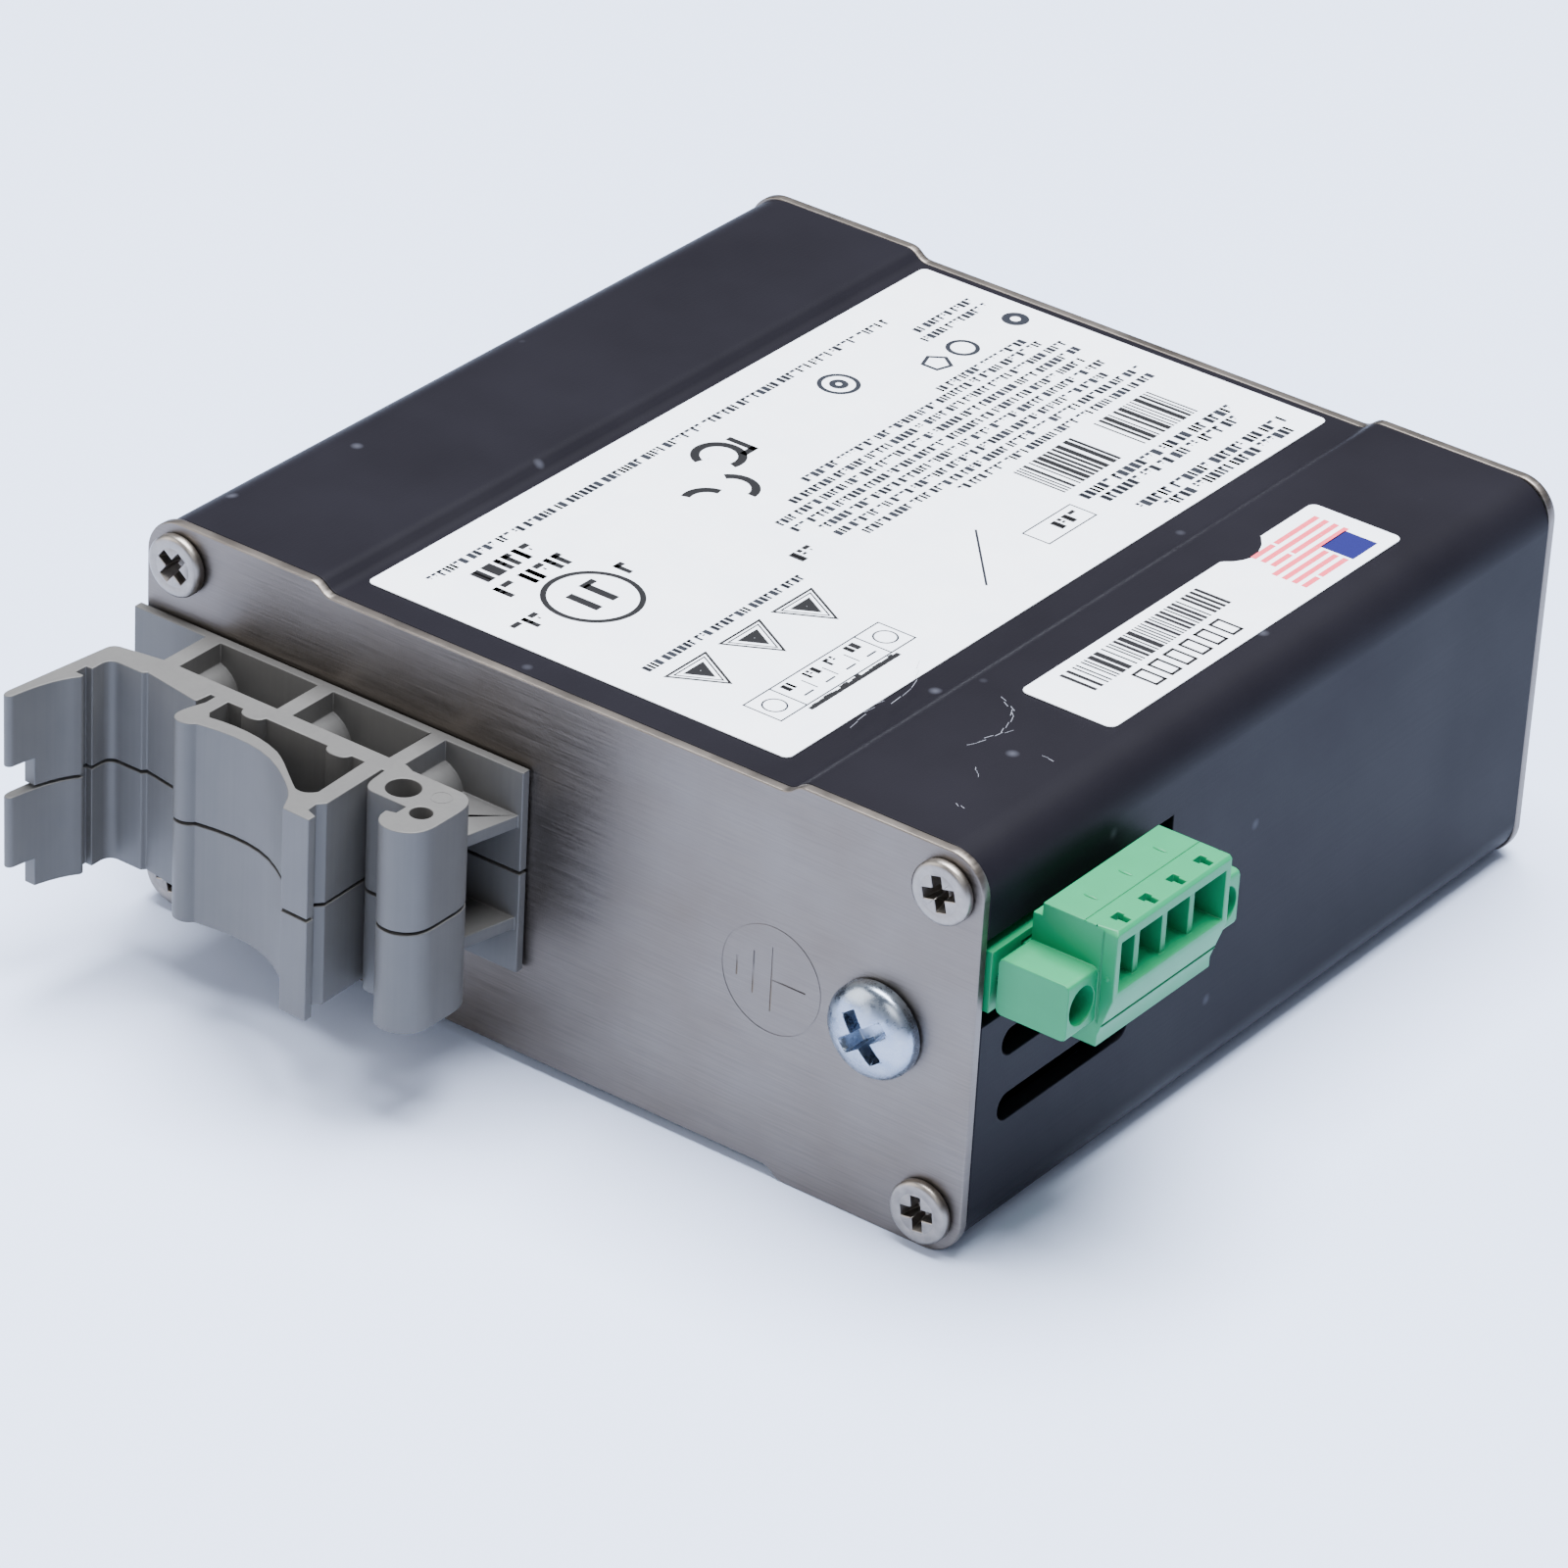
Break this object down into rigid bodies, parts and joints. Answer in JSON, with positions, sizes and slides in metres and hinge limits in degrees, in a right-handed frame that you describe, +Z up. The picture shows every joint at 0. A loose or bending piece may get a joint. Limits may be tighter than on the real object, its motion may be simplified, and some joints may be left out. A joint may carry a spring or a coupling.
{
  "type": "din rail power supply",
  "caption": "Black extruded box module with brushed steel end plates, a grey spring rail clip and a green pluggable screw terminal on its side.",
  "frame": {"origin": "centre of the rear plate's outer face, midway up the case", "axes": "+Z up with the case lying on its side face, +Y from the rear plate to the front plate, +X across the rear plate towards the side with the pluggable terminal"},
  "size_m": [0.0988, 0.1085, 0.0386],
  "materials": {
    "cover": "black anodised, fine matt",
    "plate": "brushed along the width",
    "case_screw": "turned stainless, flat disc head",
    "zinc": "bright zinc plate, bluish",
    "clip": "moulded grey polyamide",
    "connector": "moulded green polyamide",
    "contact": "tinned",
    "board": "green solder mask",
    "ferrite": "sintered, matt",
    "winding": "enamelled copper under tape",
    "capacitor": "shrink sleeve and moulded epoxy",
    "heat_spreader": "bare extrusion",
    "light_pipe": "clear acrylic",
    "trim_body": "moulded blue",
    "label": "white printed film, satin"
  },
  "bodies": {
    "case": {"asset_sticker": "label", "bulk_capacitor_1": "capacitor", "bulk_capacitor_2": "capacitor", "bulk_capacitor_3": "capacitor", "circuit_board": "board", "clip_screw_1": "case_screw", "clip_screw_2": "case_screw", "clip_screw_3": "case_screw", "clip_screw_4": "case_screw", "cover_extrusion": "cover", "din_clip_lower": "clip", "din_clip_upper": "clip", "filter_choke": "winding", "front_plate": "plate", "front_screw_1": "case_screw", "front_screw_2": "case_screw", "front_screw_3": "case_screw", "front_screw_4": "case_screw", "ground_nut": "zinc", "heat_spreader": "heat_spreader", "input_header": "connector", "input_pin_1": "contact", "input_pin_2": "contact", "input_pin_3": "contact", "input_pin_4": "contact", "light_pipe_1": "light_pipe", "light_pipe_2": "light_pipe", "light_pipe_3": "light_pipe", "output_capacitor_1": "capacitor", "output_capacitor_2": "capacitor", "output_header": "connector", "output_pin_1": "contact", "output_pin_2": "contact", "output_pin_3": "contact", "output_pin_4": "contact", "power_transistor_1": "capacitor", "power_transistor_2": "capacitor", "rating_label": "label", "rear_plate": "plate", "rear_screw_1": "case_screw", "rear_screw_2": "case_screw", "rear_screw_3": "case_screw", "rear_screw_4": "case_screw", "transformer_core": "ferrite", "transformer_winding": "winding", "trim_pot_body": "trim_body"},
    "input_plug": {"plug_housing": "connector"},
    "rear_flange_screw": {"flange_screw_rear": "zinc"},
    "front_flange_screw": {"flange_screw_front": "zinc"},
    "ground_screw_body": {"ground_screw": "zinc"},
    "trim_screw_body": {"trim_pot_screw": "contact"},
    "clamp_screw_body_1": {"clamp_screw_1": "zinc"},
    "clamp_cage_body_1": {"clamp_cage_1": "zinc"},
    "clamp_screw_body_2": {"clamp_screw_2": "zinc"},
    "clamp_cage_body_2": {"clamp_cage_2": "zinc"},
    "clamp_screw_body_3": {"clamp_screw_3": "zinc"},
    "clamp_cage_body_3": {"clamp_cage_3": "zinc"},
    "clamp_screw_body_4": {"clamp_screw_4": "zinc"},
    "clamp_cage_body_4": {"clamp_cage_4": "zinc"}
  },
  "joints": [
    {"name": "plug_pull", "type": "slide", "parent": "case", "child": "input_plug", "axis": [1, 0, 0], "range_m": [0, 0.012]},
    {"name": "rear_flange_screw_turn", "type": "hinge", "parent": "input_plug", "child": "rear_flange_screw", "pos_m": [0.04445, 0.00345, 0.0076], "axis": [1, 0, 0], "range_deg": [0, 1800]},
    {"name": "front_flange_screw_turn", "type": "hinge", "parent": "input_plug", "child": "front_flange_screw", "pos_m": [0.04445, 0.02409, 0.0076], "axis": [1, 0, 0], "range_deg": [0, 1800]},
    {"name": "ground_screw_turn", "type": "hinge", "parent": "case", "child": "ground_screw_body", "pos_m": [0.035, 0, 0], "axis": [0, -1, 0], "range_deg": [0, 1440]},
    {"name": "trim_turn", "type": "hinge", "parent": "case", "child": "trim_screw_body", "pos_m": [0.03, 0.0858, 0.0076], "axis": [0, 1, 0], "range_deg": [-135, 135]},
    {"name": "clamp_screw_turn_1", "type": "hinge", "parent": "input_plug", "child": "clamp_screw_body_1", "pos_m": [0.04945, 0.00783, 0.0076], "axis": [0, 0, 1], "range_deg": [0, 905]},
    {"name": "clamp_cage_rise_1", "type": "slide", "parent": "input_plug", "child": "clamp_cage_body_1", "axis": [0, 0, 1], "range_m": [0, 0.001]},
    {"name": "clamp_screw_turn_2", "type": "hinge", "parent": "input_plug", "child": "clamp_screw_body_2", "pos_m": [0.04945, 0.01179, 0.0076], "axis": [0, 0, 1], "range_deg": [0, 905]},
    {"name": "clamp_cage_rise_2", "type": "slide", "parent": "input_plug", "child": "clamp_cage_body_2", "axis": [0, 0, 1], "range_m": [0, 0.001]},
    {"name": "clamp_screw_turn_3", "type": "hinge", "parent": "input_plug", "child": "clamp_screw_body_3", "pos_m": [0.04945, 0.01575, 0.0076], "axis": [0, 0, 1], "range_deg": [0, 905]},
    {"name": "clamp_cage_rise_3", "type": "slide", "parent": "input_plug", "child": "clamp_cage_body_3", "axis": [0, 0, 1], "range_m": [0, 0.001]},
    {"name": "clamp_screw_turn_4", "type": "hinge", "parent": "input_plug", "child": "clamp_screw_body_4", "pos_m": [0.04945, 0.01971, 0.0076], "axis": [0, 0, 1], "range_deg": [0, 905]},
    {"name": "clamp_cage_rise_4", "type": "slide", "parent": "input_plug", "child": "clamp_cage_body_4", "axis": [0, 0, 1], "range_m": [0, 0.001]}
  ],
  "couplings": [
    {"joint": "clamp_screw_turn_1", "follows": "clamp_cage_rise_1", "rad_per_m": 15708},
    {"joint": "clamp_screw_turn_2", "follows": "clamp_cage_rise_2", "rad_per_m": 15708},
    {"joint": "clamp_screw_turn_3", "follows": "clamp_cage_rise_3", "rad_per_m": 15708},
    {"joint": "clamp_screw_turn_4", "follows": "clamp_cage_rise_4", "rad_per_m": 15708}
  ]
}
